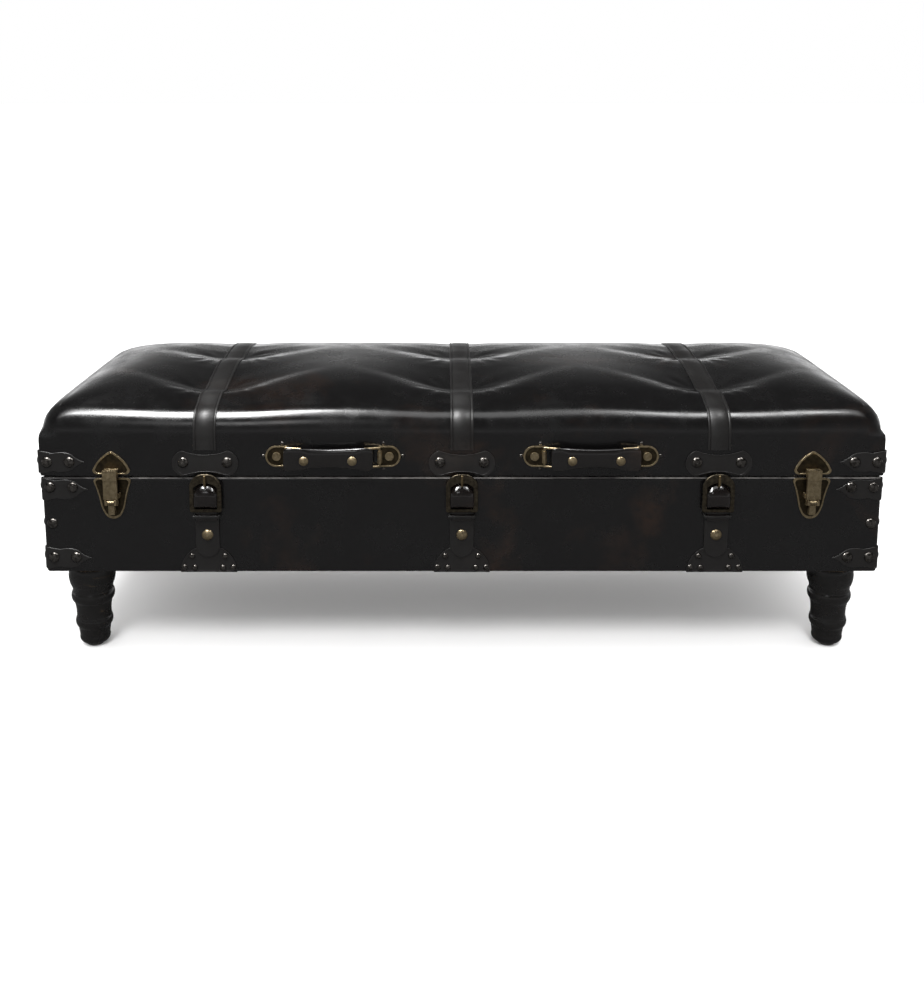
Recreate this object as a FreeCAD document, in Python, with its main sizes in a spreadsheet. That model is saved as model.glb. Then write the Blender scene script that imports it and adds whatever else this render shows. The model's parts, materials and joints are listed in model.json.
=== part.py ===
import FreeCAD, Part
import math
import os
import re

os.makedirs("parts", exist_ok=True)
doc = FreeCAD.newDocument("storage_ottoman")

# ---------------------------------------------------------------- driving sizes, mm
# Heights are measured from a plane that lies "datum" above the floor.
SIZES = {
    "datum": 14,
    "width": 1100, "depth": 390, "front": -188, "inset": 2, "hide": 1.5, "board": 12, "round": 6,
    "legtop": 109, "seam": 239, "lidbottom": 239.8, "boardlow": 275, "edgetop": 313, "crown": 356,
    "rolldown": 24, "rollin": 22,
    "legside": 47, "legfront": 50, "glide": 4,
    "strapx": 333, "strapwide": 31, "strapthick": 2.6, "strapend": 130, "topstrapwide": 30,
    "patchthick": 1.6, "patchradius": 37, "cornerthick": 1.6,
    "cornerlid": 260, "cornerhigh": 222.5, "cornerlow": 128.5, "studlevel": 175.5,
    "naildomed": 14, "nailsmall": 8, "rivetwide": 15, "rivetlevel": 161,
    "bonelevel": 258.4, "buckle": 193.8, "buckleback": 4.3, "bucklethick": 4,
    "latchx": 455, "latchplate": 2, "latchlow": 183, "catchlow": 243.8,
    "leverpin": 216, "leverout": 5.5, "looppin": 208, "loopout": 11,
    "handlex": 167, "handlelevel": 268, "ringpin": 60.5, "ringout": 4.6, "ringreach": 20,
    "ringangle": 15, "wire": 1.6, "ringhalf": 12.4, "gripback": 8.5, "gripthick": 11, "gripshift": 5,
    "hingex": 380, "hingeout": 4, "hingelevel": 239.4, "knuckle": 4, "pin": 2,
}

sheet = doc.addObject("Spreadsheet::Sheet", "Sizes")
for row, (alias, value) in enumerate(SIZES.items(), start=1):
    sheet.set(f"A{row}", alias)
    sheet.set(f"B{row}", str(value))
    sheet.setAlias(f"B{row}", alias)
doc.recompute()

NODES = []


def size(text):
    """The value in mm of a sum of the sheet's sizes, for outlines."""
    sheet.set("D1", "=" + text)
    sheet.recompute()
    return float(sheet.get("D1"))


def linked(text):
    """The same expression, written for setExpression."""
    return re.sub(r"[A-Za-z]+", lambda m: "Sizes." + m.group(), text)


def bind(obj, **expressions):
    for prop, text in expressions.items():
        obj.setExpression(prop, linked(text))
    return obj


def place(obj, x="0", y="0", z="0", turn=None):
    """Put an object at a place given in the sheet's sizes; turn is an (axis, degrees) pair."""
    if turn:
        about = FreeCAD.Rotation(FreeCAD.Vector(*turn[0]), turn[1])
        obj.Placement = FreeCAD.Placement(FreeCAD.Vector(), about)
    for axis, text in zip("xyz", (x, y, z)):
        obj.setExpression("Placement.Base." + axis, linked(text))
    return obj


def node(obj, label):
    """Name a finished sub-part, raise it to its height over the floor and list it for writing."""
    raised = place(group(obj), z="datum")
    raised.Label = label
    NODES.append(raised)
    return raised


def box(x, y, z):
    """A box between two places on each axis: x, y and z are (low, high) pairs of expressions."""
    obj = doc.addObject("Part::Box", "Box")
    bind(obj, Length=f"({x[1]})-({x[0]})", Width=f"({y[1]})-({y[0]})", Height=f"({z[1]})-({z[0]})")
    return place(obj, x[0], y[0], z[0])


def rod(radius, length, x, y, z, along="Z"):
    """A cylinder centred on its place, along X, Y or Z."""
    obj = doc.addObject("Part::Cylinder", "Rod")
    bind(obj, Radius=radius, Height=length)
    half = f"({length})/2"
    if along == "X":
        return place(obj, f"{x}-{half}", y, z, ((0, 1, 0), 90))
    if along == "Y":
        return place(obj, x, f"{y}+{half}", z, ((1, 0, 0), 90))
    return place(obj, x, y, f"{z}-{half}")


def fuse(*shapes):
    obj = doc.addObject("Part::MultiFuse", "Fuse")
    obj.Shapes = list(shapes)
    return obj


def cut(base, tool):
    obj = doc.addObject("Part::Cut", "Cut")
    obj.Base, obj.Tool = base, tool
    return obj


def common(*shapes):
    obj = doc.addObject("Part::MultiCommon", "Common")
    obj.Shapes = list(shapes)
    return obj


def group(*shapes):
    """Separate solids in one node."""
    obj = doc.addObject("Part::Compound", "Group")
    obj.Links = list(shapes)
    return obj


def mirror(source, across, x="0", y="0"):
    obj = doc.addObject("Part::Mirroring", "Mirror")
    obj.Source, obj.Normal = source, FreeCAD.Vector(*across)
    bind(obj, **{"Base.x": x, "Base.y": y})
    return obj


def copy(source, x="0", y="0", z="0", turn=None):
    obj = doc.addObject("App::Link", "Copy")
    obj.LinkedObject, obj.LinkTransform = source, True
    return place(obj, x, y, z, turn)


def left_and_right(source):
    """The source and its mirror image across the middle of the width."""
    return group(source, mirror(source, (1, 0, 0)))


def four_corners(source):
    """The source at one corner, and its mirror images at the other three."""
    pair = left_and_right(source)
    return group(pair, mirror(pair, (0, 1, 0), y="front+depth/2"))


# ---------------------------------------------------------------- sketches

def plane_of(body, role):
    return next(f for f in body.Origin.OriginFeatures if f.Role == role)


def draw(sketch, start, steps):
    """Draw a closed outline: each step is an end point, or a (through, end) pair for an arc."""
    here = FreeCAD.Vector(*start, 0)
    for step in steps:
        if isinstance(step[0], tuple):
            through, there = FreeCAD.Vector(*step[0], 0), FreeCAD.Vector(*step[1], 0)
            sketch.addGeometry(Part.Arc(here, through, there), False)
        else:
            there = FreeCAD.Vector(*step, 0)
            sketch.addGeometry(Part.LineSegment(here, there), False)
        here = there


def sketch_on(body, role, outline, offset=None):
    sketch = body.newObject("Sketcher::SketchObject", "Outline")
    sketch.AttachmentSupport = (plane_of(body, role), [""])
    sketch.MapMode = "FlatFace"
    if offset:
        sketch.setExpression("AttachmentOffset.Base.z", linked(offset))
    draw(sketch, *outline)
    return sketch


def inner(outline, middle, rim, reach):
    """The outline drawn in towards its middle by about the rim's width."""
    factor = 1 - rim / reach

    def shrink(point):
        if isinstance(point[0], tuple):
            return tuple(shrink(p) for p in point)
        return tuple(m + (p - m) * factor for p, m in zip(point, middle))
    return shrink(outline[0]), [shrink(step) for step in outline[1]]


def plate(outline, thick, recess=None, hole=None):
    """A flat piece on the front, growing towards -Y, with a recess (outline, depth) or a hole."""
    body = doc.addObject("PartDesign::Body", "Plate")
    pad = body.newObject("PartDesign::Pad", "Pad")
    pad.Profile = sketch_on(body, "XZ_Plane", outline)
    bind(pad, Length=thick)
    if recess:
        pocket = body.newObject("PartDesign::Pocket", "Recess")
        pocket.Profile = sketch_on(body, "XZ_Plane", recess[0], offset=thick)
        bind(pocket, Length=recess[1])
    if hole:
        pocket = body.newObject("PartDesign::Pocket", "Window")
        pocket.Profile = sketch_on(body, "XZ_Plane", hole, offset=thick)
        bind(pocket, Length=thick)
    return body


def turned(outline):
    """A piece turned about its own Z axis."""
    body = doc.addObject("PartDesign::Body", "Turned")
    spin = body.newObject("PartDesign::Revolution", "Turn")
    spin.Profile = sketch_on(body, "XZ_Plane", outline)
    spin.ReferenceAxis = (spin.Profile[0], ["V_Axis"])
    spin.Angle = 360
    return body


def extruded(outline, role, length):
    """A long piece with a constant section, centred on the section's plane."""
    body = doc.addObject("PartDesign::Body", "Section")
    pad = body.newObject("PartDesign::Pad", "Pad")
    pad.Profile = sketch_on(body, role, outline)
    pad.Midplane = True
    bind(pad, Length=length)
    return body


# ---------------------------------------------------------------- nails and rivets

def nail(wide, dome, shank, reach):
    """A domed nail standing on z = 0, with its shank below; all four in mm."""
    half, thin, lip = wide / 2, shank / 2, 0.4
    rise = dome - lip
    sphere = (half ** 2 + rise ** 2) / (2 * rise)
    lean = math.asin(half / sphere) / 2
    middle = (sphere * math.sin(lean), dome - sphere * (1 - math.cos(lean)))
    steps = [(thin, -reach), (thin, 0), (half, 0), (half, lip), (middle, (0, dome)), (0, -reach)]
    return turned(((0, -reach), steps))


def facing(source, side, across, level, proud):
    """A copy of a nail on the front, back, left or right, across and up that face."""
    left, right = "-width/2", "width/2"
    if side == "front":
        return copy(source, across, f"front-({proud})", level, ((1, 0, 0), 90))
    if side == "back":
        return copy(source, across, f"front+depth+({proud})", level, ((1, 0, 0), -90))
    if side == "left":
        return copy(source, f"{left}-({proud})", across, level, ((0, 1, 0), -90))
    return copy(source, f"{right}+({proud})", across, level, ((0, 1, 0), 90))


def corner_nails(source, levels, proud, edge):
    """Nails beside all four corners: levels maps a height to the distances from the corner."""
    nails = []
    for level, distances in levels.items():
        for away in distances:
            for side in ("front", "back"):
                nails += [facing(source, side, f"{sign}(width/2-{edge}-{away})", level, proud)
                          for sign in ("", "-")]
            for side in ("left", "right"):
                nails += [facing(source, side, f"front+{edge}+{away}", level, proud),
                          facing(source, side, f"front+depth-{edge}-{away}", level, proud)]
    return group(*nails)


# ---------------------------------------------------------------- base: box, lining, legs

def around(inset, low, high):
    """A block on the middle of the footprint, set in from the lid's outer size."""
    return box((f"-width/2+{inset}", f"width/2-({inset})"),
               (f"front+{inset}", f"front+depth-({inset})"), (low, high))


def rounded_block(inset, low, high, radius):
    """The same with rounded upright corners."""
    block = around(inset, low, high)
    doc.recompute()
    fillet = doc.addObject("Part::Fillet", "Rounded")
    fillet.Base = block
    upright = [i for i, e in enumerate(block.Shape.Edges, 1)
               if abs(e.Vertexes[0].Z - e.Vertexes[-1].Z) > size(high) - size(low) - 0.01]
    fillet.Edges = [(i, radius, radius) for i in upright]
    return fillet


def base_box():
    shell, wall = "inset+hide", "inset+hide+board"
    low, top = "legtop+1", "seam-hide"
    run = (f"-width/2+{shell}", f"width/2-({shell})")
    between = (f"front+{wall}", f"front+depth-({wall})")
    hide_in = size("round-hide")
    outline = rounded_block(shell, "legtop-1", top, hide_in)

    def panel(label, x, y):
        node(common(box(x, y, (low, top)), outline), label)

    panel("base_front_panel", run, (f"front+{shell}", f"front+{wall}"))
    panel("base_back_panel", run, (f"front+depth-({wall})", f"front+depth-({shell})"))
    panel("base_left_panel", (run[0], f"-width/2+{wall}"), between)
    panel("base_right_panel", (f"width/2-({wall})", run[1]), between)

    floor = around(wall, low, f"{low}+board")
    bores = [rod("5", "60", x, y, low) for x, y in leg_places()]
    node(cut(floor, group(*bores)), "base_bottom_panel")

    leather = rounded_block("inset", "legtop", "seam", size("round"))
    hollow = fuse(outline, around(wall, "legtop-1", "seam+1"))
    node(cut(leather, hollow), "base_leather")

    lining = cut(around(wall, f"{low}+board", "seam-3"), around(f"{wall}+1", f"{low}+board+1", "seam"))
    clear = [rod("12", "20", x, y, f"{low}+board") for x, y in leg_places()]
    node(cut(lining, group(*clear)), "base_lining")


def leg_places():
    return [(f"{sign}(width/2-legside)", y) for y in ("front+legfront", "front+depth-legfront")
            for sign in ("-", "")]


def leg_outline():
    """Half of the turned leg: foot, ring, neck, ring, bulge."""
    low, top = size("glide-datum"), size("legtop")
    return (0, low), [
        (14, low), ((18.5, low + 3), (19.8, 1)), (21.4, 13), ((24.6, 20), (23.2, 27.5)),
        ((23, 38), (25.2, 50)), ((28.6, 58), (26.6, 65.5)), ((26.8, 70), (28.6, 75)),
        ((30.8, 88), (28.6, 100)), (25.5, 104.5), (25.5, top), (0, top), (0, low)]


def legs():
    leg = turned(leg_outline())
    bored = cut(leg, rod("4", "80", "0", "0", "legtop"))
    bolt = fuse(rod("4", "36", "0", "0", "legtop"), rod("8", "3", "0", "0", "legtop+1+board+1.5"))
    glide = rod("11", "glide", "0", "0", "glide/2-datum")
    names = ["leg_front_left", "leg_front_right", "leg_back_left", "leg_back_right"]
    for name, (x, y) in zip(names, leg_places()):
        node(group(copy(bored, x, y)), name)
    node(group(*[copy(bolt, x, y) for x, y in leg_places()]), "leg_bolts")
    node(group(*[copy(glide, x, y) for x, y in leg_places()]), "leg_glides")


# ---------------------------------------------------------------- corner leathers

def spear_outline():
    """The corner leather's arm: straight at the corner, waist, bulge and a drawn-out point."""
    bend = size("round")
    return (bend, -15), [
        ((13, -13.4), (20, -12)), ((33, -13.3), (44, -10.6)), ((51.5, -4.4), (61, 0)),
        ((51.5, 4.4), (44, 10.6)), ((33, 13.3), (20, 12)), ((13, 13.4), (bend, 15)), (bend, -15)]


def corner_piece(edge):
    """One leather folded round the front left corner, at mid height."""
    arm = place(plate(spear_outline(), "cornerthick"), f"-width/2+{edge}", f"front+{edge}")
    side = mirror(arm, (1, -1, 0), f"-width/2+{edge}", f"front+{edge}")
    x, y = f"-width/2+{edge}+round", f"front+{edge}+round"
    bend = cut(rod("round+cornerthick", "30", x, y, "0"), rod("round", "32", x, y, "0"))
    quarter = box((f"{x}-round-5", x), (f"{y}-round-5", y), ("-15", "15"))
    return fuse(arm, side, common(bend, quarter))


def corner_leathers(label, edge, levels):
    ring = four_corners(corner_piece(edge))
    node(group(*[copy(ring, z=level) for level in levels]), label)


# ---------------------------------------------------------------- lid

def lid_section_across(offset):
    """The lid seen from its end: upright sides, a rolled edge and a crown."""
    half, low = size("depth/2") - offset, size("lidbottom") + offset
    edge, top = size("edgetop") - offset, size("crown") - offset
    down, back = size("rolldown"), size("rollin")
    return (-half, low), [
        (half, low), (half, edge - down), ((half - 6.5, edge - 6), (half - back, edge + 5)),
        ((0, top), (-half + back, edge + 5)), ((-half + 6.5, edge - 6), (-half, edge - down)),
        (-half, low)]


def lid_section_along(offset):
    """The lid seen from the front: the crown runs level and falls only near the ends."""
    half, low = size("width/2") - offset, size("lidbottom") + offset
    edge, top = size("edgetop") - offset, size("crown") - offset
    down, back = size("rolldown"), size("rollin")
    return (-half, low), [
        (half, low), (half, edge - down), ((half - 6.5, edge - 6), (half - back, edge + 8)),
        ((half - 55, top - 7), (half - 100, top)), (-half + 100, top),
        ((-half + 55, top - 7), (-half + back, edge + 8)), ((-half + 6.5, edge - 6), (-half, edge - down)),
        (-half, low)]


def lid_form(offset):
    """The padded lid's outer form, drawn in by offset on every side."""
    across = place(extruded(lid_section_across(offset), "YZ_Plane", "width+20"), y="front+depth/2")
    along = place(extruded(lid_section_along(offset), "XZ_Plane", "depth+20"), y="front+depth/2")
    corners = rounded_block(f"{offset}", "lidbottom-5", "crown+5", size("round") - offset)
    return common(across, along, corners)


def lid_box(outer, inside):
    wall, top = "hide+board", "boardlow+board"
    low = "lidbottom+hide"
    run = ("-width/2+hide", "width/2-hide")
    between = (f"front+{wall}", f"front+depth-({wall})")

    def rail(label, x, y):
        node(common(box(x, y, (low, "boardlow")), inside), label)

    rail("lid_front_rail", run, ("front+hide", f"front+{wall}"))
    rail("lid_back_rail", run, (f"front+depth-({wall})", "front+depth-hide"))
    rail("lid_left_rail", (run[0], f"-width/2+{wall}"), between)
    rail("lid_right_rail", (f"width/2-({wall})", run[1]), between)
    node(common(around("hide", "boardlow", top), inside), "lid_board")
    node(common(around("hide", top, "crown+1"), inside), "lid_foam")
    node(around(wall, "boardlow-1", "boardlow"), "lid_lining")
    hollow = fuse(inside, around(wall, "lidbottom-2", "boardlow"))
    node(cut(outer, hollow), "lid_leather")


def top_straps():
    """Three straps over the crown, from the front patches down the back."""
    thick = 2.5
    over = extruded(lid_section_across(-thick), "YZ_Plane", "topstrapwide")
    under = extruded(lid_section_across(0), "YZ_Plane", "topstrapwide+2")
    band = cut(over, under)
    keep = box(("-20", "20"), ("-depth/2-5", "depth/2+5"), ("276.4", "crown+10"))
    tail = box(("-20", "20"), ("0", "depth/2+5"), ("268", "crown+10"))
    strap = common(band, fuse(keep, tail))
    for name, x in (("left", "-strapx"), ("centre", "0"), ("right", "strapx")):
        node(group(copy(strap, x, "front+depth/2")), f"top_strap_{name}")


def bone_outline():
    return (-30, 17), [((0, 11.5), (30, 17)), ((43, 0), (30, -17)), ((0, -11.5), (-30, -17)),
                       ((-43, 0), (-30, 17))]


STRAPS = ("-strapx", "0", "strapx")


def strap_bones():
    outline = bone_outline()
    bone = plate(outline, "patchthick+0.4", recess=(inner(outline, (0, 0), 3, 30), "0.4"))
    node(group(*[copy(bone, x, "front", "bonelevel") for x in STRAPS]), "strap_bones")


def lid_nails(source):
    bones = [facing(source, "front", f"{x}{away}", "bonelevel+1.4", "patchthick")
             for x in STRAPS for away in ("-28.5", "+28.5")]
    corners = corner_nails(source, {"cornerlid": ("11.9", "41")}, "cornerthick", "0")
    node(group(*bones, corners), "lid_nails")


# ---------------------------------------------------------------- front straps and buckles

def strap_outline():
    half, low, high = size("strapwide/2"), size("strapend"), size("seam-1")
    return (-half, high), [(-half, low + half), ((0, low), (half, low + half)), (half, high),
                           (-half, high)]


def patch_outline():
    r = size("patchradius")
    return (-r, 0), [((0, r), (r, 0)), (-r, 0)]


def front_straps():
    face = "front+inset"
    strap = plate(strap_outline(), "strapthick")
    for name, x in zip(("left", "centre", "right"), STRAPS):
        node(group(copy(strap, x, face)), f"front_strap_{name}")
    outline = patch_outline()
    patch = place(plate(outline, "patchthick", recess=(inner(outline, (0, 16), 2.4, 30), "0.4")),
                  y=face, z="legtop")
    seat = place(plate(strap_outline(), "strapthick"), y=face)
    node(group(*[copy(cut(patch, seat), x) for x in STRAPS]), "strap_patches")


def strap_fasteners():
    small, rivet = nail(size("nailsmall"), 2.6, 1.6, 8), nail(size("rivetwide"), 3.6, 3, 8)
    spots = [("+32", "6.5"), ("+18.5", "6"), ("+21.7", "22")]
    spots += [(across.replace("+", "-"), up) for across, up in spots]
    nails = [facing(small, "front", f"{x}{across}", f"legtop+{up}", "patchthick-0.4-inset")
             for x in STRAPS for across, up in spots]
    node(group(*nails), "patch_nails")
    rivets = [facing(rivet, "front", x, "rivetlevel", "strapthick-inset") for x in STRAPS]
    node(group(*rivets), "strap_rivets")


def buckle_outline():
    return (-17.8, 0), [(17.8, 0), ((20, 0.8), (20.8, 3)), (20.8, 35), ((14.6, 46.8), (0, 51.6)),
                        ((-14.6, 46.8), (-20.8, 35)), (-20.8, 3), ((-20, 0.8), (-17.8, 0))]


def window_outline():
    return (-14.8, 4.4), [(14.8, 4.4), (14.8, 33), ((0, 39.4), (-14.8, 33)), (-14.8, 4.4)]


def buckles():
    """Buckle frames, prongs, leather tongues over the lower bar and keeper loops."""
    back, out = "front+inset-strapthick", "front-buckleback+1"
    frame = plate(buckle_outline(), "bucklethick", hole=window_outline())
    node(group(*[copy(frame, x, out, "buckle") for x in STRAPS]), "buckle_frames")

    front = f"{out}-bucklethick"
    prong = rod("1.7", "15", "0", f"{front}-1.7", "buckle+43")
    node(group(*[copy(prong, x) for x in STRAPS]), "buckle_prongs")

    fill = box(("-14", "14"), (f"{front}-1.4", back), ("buckle+5", "buckle+33"))
    over = box(("-14", "14"), (f"{front}-2.6", f"{front}-0.3"), ("buckle-4", "buckle+12"))
    tip = box(("-14", "14"), (f"{back}-4", back), ("buckle-12.8", "buckle-0.5"))
    drop = box(("-14", "14"), (f"{front}-2.6", back), ("buckle-4", "buckle-0.5"))
    tongue = fuse(fill, over, tip, drop)
    node(group(*[copy(tongue, x) for x in STRAPS]), "buckle_tongues")

    loop = box(("-17.5", "17.5"), (f"{back}-6.2", "front+inset"), ("buckle-8.2", "buckle-4.6"))
    hole = box(("-15.6", "15.6"), (f"{back}-4.1", "front+inset"), ("buckle-9", "buckle-4"))
    node(group(*[copy(cut(loop, hole), x) for x in STRAPS]), "strap_keepers")


# ---------------------------------------------------------------- latches

def catch_outline():
    return (-24.2, 6), [((-22.4, 1.6), (-18, 0)), (18, 0), ((22.4, 1.6), (24.2, 6)),
                        ((16, 19), (5, 28.4)), ((0, 30.5), (-5, 28.4)), ((-16, 19), (-24.2, 6))]


def latch_outline():
    return (-24, 50.5), [
        ((-22.6, 54), (-19, 55.4)), (19, 55.4), ((22.6, 54), (24, 50.5)),
        ((19.4, 36), (16.5, 23)), ((14.4, 14), (11, 6.6)), ((0, 0), (-11, 6.6)),
        ((-14.4, 14), (-16.5, 23)), ((-19.4, 36), (-24, 50.5))]


def latches():
    """Plates, catch, lever and loop of one latch at x = 0, then copies at both places."""
    face = "front+inset"
    outline = latch_outline()
    rimmed = plate(outline, "latchplate", recess=(inner(outline, (0, 32), 2.2, 22), "0.5"))
    out, pin = "front+inset-leverout", "leverpin"
    ears = [box((low, high), (f"{out}-2.7", face), (f"{pin}-3", f"{pin}+3"))
            for low, high in (("-10.5", "-8.4"), ("8.4", "10.5"))]
    axle = rod("1.5", "21", "0", out, pin, "X")
    lower = fuse(place(rimmed, y=face, z="latchlow"), *ears, axle)
    node(group(*[copy(lower, x) for x in ("-latchx", "latchx")]), "latch_plates")

    outline = catch_outline()
    upper = plate(outline, "latchplate", recess=(inner(outline, (0, 11), 2.2, 16), "0.5"))
    block = box(("-9", "9"), ("front-6.7", "front-1"), ("241.2", "251"))
    catch = fuse(place(upper, y="front", z="catchlow"), block)
    node(group(*[copy(catch, x) for x in ("-latchx", "latchx")]), "latch_catches")

    lever_front = f"{out}-2.5"
    blade = box(("-8", "8"), (lever_front, f"{out}+2.5"), ("203", pin))
    tab = box(("-4", "4"), (f"{lever_front}-2.5", f"{out}+2.5"), ("191", "204"))
    hub = rod("2.5", "16", "0", out, pin, "X")
    pins = [box((low, high), ("front+inset-loopout-2.5", lever_front), ("looppin-3.4", "looppin+3.4"))
            for low, high in (("-7.6", "-4.4"), ("4.4", "7.6"))]
    link_pin = rod("1.2", "15.2", "0", "front+inset-loopout", "looppin", "X")
    lever = cut(fuse(blade, tab, hub, *pins, link_pin), rod("1.56", "20", "0", out, pin, "X"))

    loop_y = "front+inset-loopout"
    arm = box(("-4", "4"), (f"{loop_y}-1.5", f"{loop_y}+1.5"), ("looppin", "looppin+6"))
    body = box(("-9", "9"), (f"{loop_y}-1.7", f"{loop_y}+1.7"), ("looppin+4.7", "251.8"))
    crown = box(("-9", "9"), (f"{loop_y}-3", loop_y), ("238.6", "251.8"))
    knuckle = rod("2.5", "8", "0", loop_y, "looppin", "X")
    loop = cut(fuse(arm, body, crown, knuckle), rod("1.25", "12", "0", loop_y, "looppin", "X"))
    for name, x in (("left", "-latchx"), ("right", "latchx")):
        node(group(copy(lever, x)), f"latch_lever_{name}")
        node(group(copy(loop, x)), f"latch_loop_{name}")


# ---------------------------------------------------------------- handles

def grip_outline():
    """A leather grip, taller at the ends and drawn in at the middle."""
    return (-52, -16.5), [((0, -10.5), (52, -16.5)), ((56.4, -14), (57.5, -9)), (57.5, 9),
                          ((56.4, 14), (52, 16.5)), ((0, 13.5), (-52, 16.5)),
                          ((-56.4, 14), (-57.5, 9)), (-57.5, -9), ((-56.4, -14), (-52, -16.5))]


def dee_outline():
    return (-1, -14), [(13, -14), ((27, 0), (13, 14)), (-1, 14), (-1, -14)]


def handle_plate():
    """A D-shaped plate with its boss and the tube that holds the ring, for the right-hand end."""
    outline = dee_outline()
    dee = plate(outline, "2", recess=(inner(outline, (11, 0), 2, 14), "0.5"))
    boss = rod("5.6", "2.4", "12.5", "-2", "0", "Y")
    web = box(("-1.2", "3"), ("-3", "-1"), ("-8", "8"))
    tube = rod("3", "16", "0", "-ringout", "0")
    return cut(fuse(dee, boss, web, tube), rod("wire+0.08", "20", "0", "-ringout", "0"))


def ring():
    """A rectangular wire ring whose outer bar stands on the pivot, laid towards -X."""
    bars = [rod("wire", "2*ringhalf", x, "0", "0") for x in ("0", "-ringreach")]
    bars += [rod("wire", "ringreach", "-ringreach/2", "0", z, "X") for z in ("-ringhalf", "ringhalf")]
    balls = []
    for x in ("0", "-ringreach"):
        for z in ("-ringhalf", "ringhalf"):
            ball = doc.addObject("Part::Sphere", "Bend")
            bind(ball, Radius="wire")
            balls.append(place(ball, x, "0", z))
    return fuse(*bars, *balls)


def handles():
    right_plate, wire = handle_plate(), ring()
    left_plate = mirror(right_plate, (1, 0, 0))
    mirrored = mirror(wire, (1, 0, 0))
    black = nail(5, 1.4, 1.4, 7)
    rivet = nail(12, 2.5, 3, 6)
    solid_grip = plate(grip_outline(), "gripthick")
    plates, nails = [], []
    lean = size("ringangle")
    for side, sign in (("left", "-"), ("right", "")):
        middle = f"{sign}handlex"
        for end, source, wire_end, towards in (("left", left_plate, mirrored, "-"),
                                               ("right", right_plate, wire, "+")):
            x = f"{middle}{towards}ringpin"
            plates.append(copy(source, x, "front", "handlelevel"))
            for across, up in (("5", "16.8"), ("5", "-16.8"), ("29.8", "0")):
                nails.append(facing(black, "front", f"{x}{towards}{across}", f"handlelevel+({up})", "0"))
            turn = ((0, 0, 1), lean if end == "right" else -lean)
            bent = copy(wire_end, x, "front-ringout", "handlelevel", turn)
            node(group(bent), f"handle_ring_{side}_{end}")
        grip = copy(solid_grip, f"{middle}{sign or '+'}gripshift", "front-gripback", "handlelevel-1")
        notches = [box((f"{middle}{low}", f"{middle}{high}"), ("front-gripback-4.6", "front"),
                       ("handlelevel-15.2", "handlelevel+15.2"))
                   for low, high in (("-70", "-37"), ("+37", "+70"))]
        node(cut(grip, fuse(*notches)), f"handle_grip_{side}")
        studs = [facing(rivet, "front", f"{middle}{sign or '+'}gripshift{away}", "handlelevel-1",
                        "gripback+gripthick") for away in ("-31", "+31")]
        node(group(*studs), f"grip_rivets_{side}")
    node(group(*plates), "handle_plates")
    node(group(*nails), "handle_plate_nails")


# ---------------------------------------------------------------- hinges

HINGES = ("-hingex", "0", "hingex")


def hinges():
    """Three butt hinges on the back: base leaves with two knuckles, lid leaves with one."""
    back, axis, level = "front+depth", "front+depth+hingeout", "hingelevel"
    bore = rod("pin+0.05", "90", "0", axis, level, "X")

    base_face = f"{back}-inset"
    leaf = box(("-35", "35"), (base_face, f"{base_face}+1.5"), ("214", "236"))
    webs = [box((low, high), (base_face, f"{back}+1.2"), ("230", level))
            for low, high in (("-35", "-15.4"), ("15.4", "35"))]
    tubes = [rod("knuckle", "19.6", x, axis, level, "X") for x in ("-25.2", "25.2")]
    lower = cut(fuse(leaf, *webs, *tubes), bore)
    node(group(*[copy(lower, x) for x in HINGES]), "hinge_base_leaves")

    plate_up = box(("-35", "35"), (back, f"{back}+1.5"), ("246", "266"))
    web = box(("-15", "15"), (back, f"{back}+1.5"), (f"{level}+0.4", "250"))
    tube = rod("knuckle", "30", "0", axis, level, "X")
    upper = cut(fuse(plate_up, web, tube), bore)
    node(group(*[copy(upper, x) for x in HINGES]), "hinge_lid_leaves")
    pin = rod("pin", "71", "0", axis, level, "X")
    node(group(*[copy(pin, x) for x in HINGES]), "hinge_pins")

    screw = nail(6, 1.2, 3, 10)
    for label, proud, height in (("hinge_base_screws", "1.5-inset", "222"),
                                 ("hinge_lid_screws", "1.5", "257")):
        screws = [facing(screw, "back", f"{x}{away}", height, proud)
                  for x in HINGES for away in ("-25", "+0", "+25")]
        node(group(*screws), label)


# ---------------------------------------------------------------- the whole object

def build():
    base_box()
    legs()
    corner_leathers("base_corner_leathers", "inset", ("cornerhigh", "cornerlow"))
    big = nail(size("naildomed"), 3.2, 2, 8)
    levels = {"cornerhigh+3": ("11.9", "41"), "cornerlow+1": ("11.9", "41")}
    spread = corner_nails(big, levels, "cornerthick-inset", "inset")
    studs = corner_nails(big, {"studlevel": ("11.9",)}, "0-inset", "inset")
    node(group(spread, studs), "base_nails")
    front_straps()
    strap_fasteners()
    buckles()
    lid_box(lid_form(0), lid_form(size("hide")))
    top_straps()
    strap_bones()
    corner_leathers("lid_corner_leathers", "0", ("cornerlid",))
    lid_nails(big)
    latches()
    handles()
    hinges()


def check_and_write():
    doc.recompute()
    for obj in doc.Objects:
        if "Invalid" in obj.State or "Error" in obj.State:
            raise RuntimeError(f"{obj.Name} ({obj.Label}) did not build")
    for obj in NODES:
        if obj.Shape.isNull() or not obj.Shape.isValid() or not obj.Shape.Solids:
            raise RuntimeError(f"{obj.Label} has no valid solid")
        obj.Shape.exportStep(f"parts/{obj.Label}.step")
        print(obj.Label, len(obj.Shape.Solids), round(obj.Shape.Volume / 1000, 2), "cm3")
    whole = FreeCAD.BoundBox()
    for obj in NODES:
        whole.add(obj.Shape.BoundBox)
    print(len(NODES), "nodes", whole)


build()
check_and_write()
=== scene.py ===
import json
import math

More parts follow.
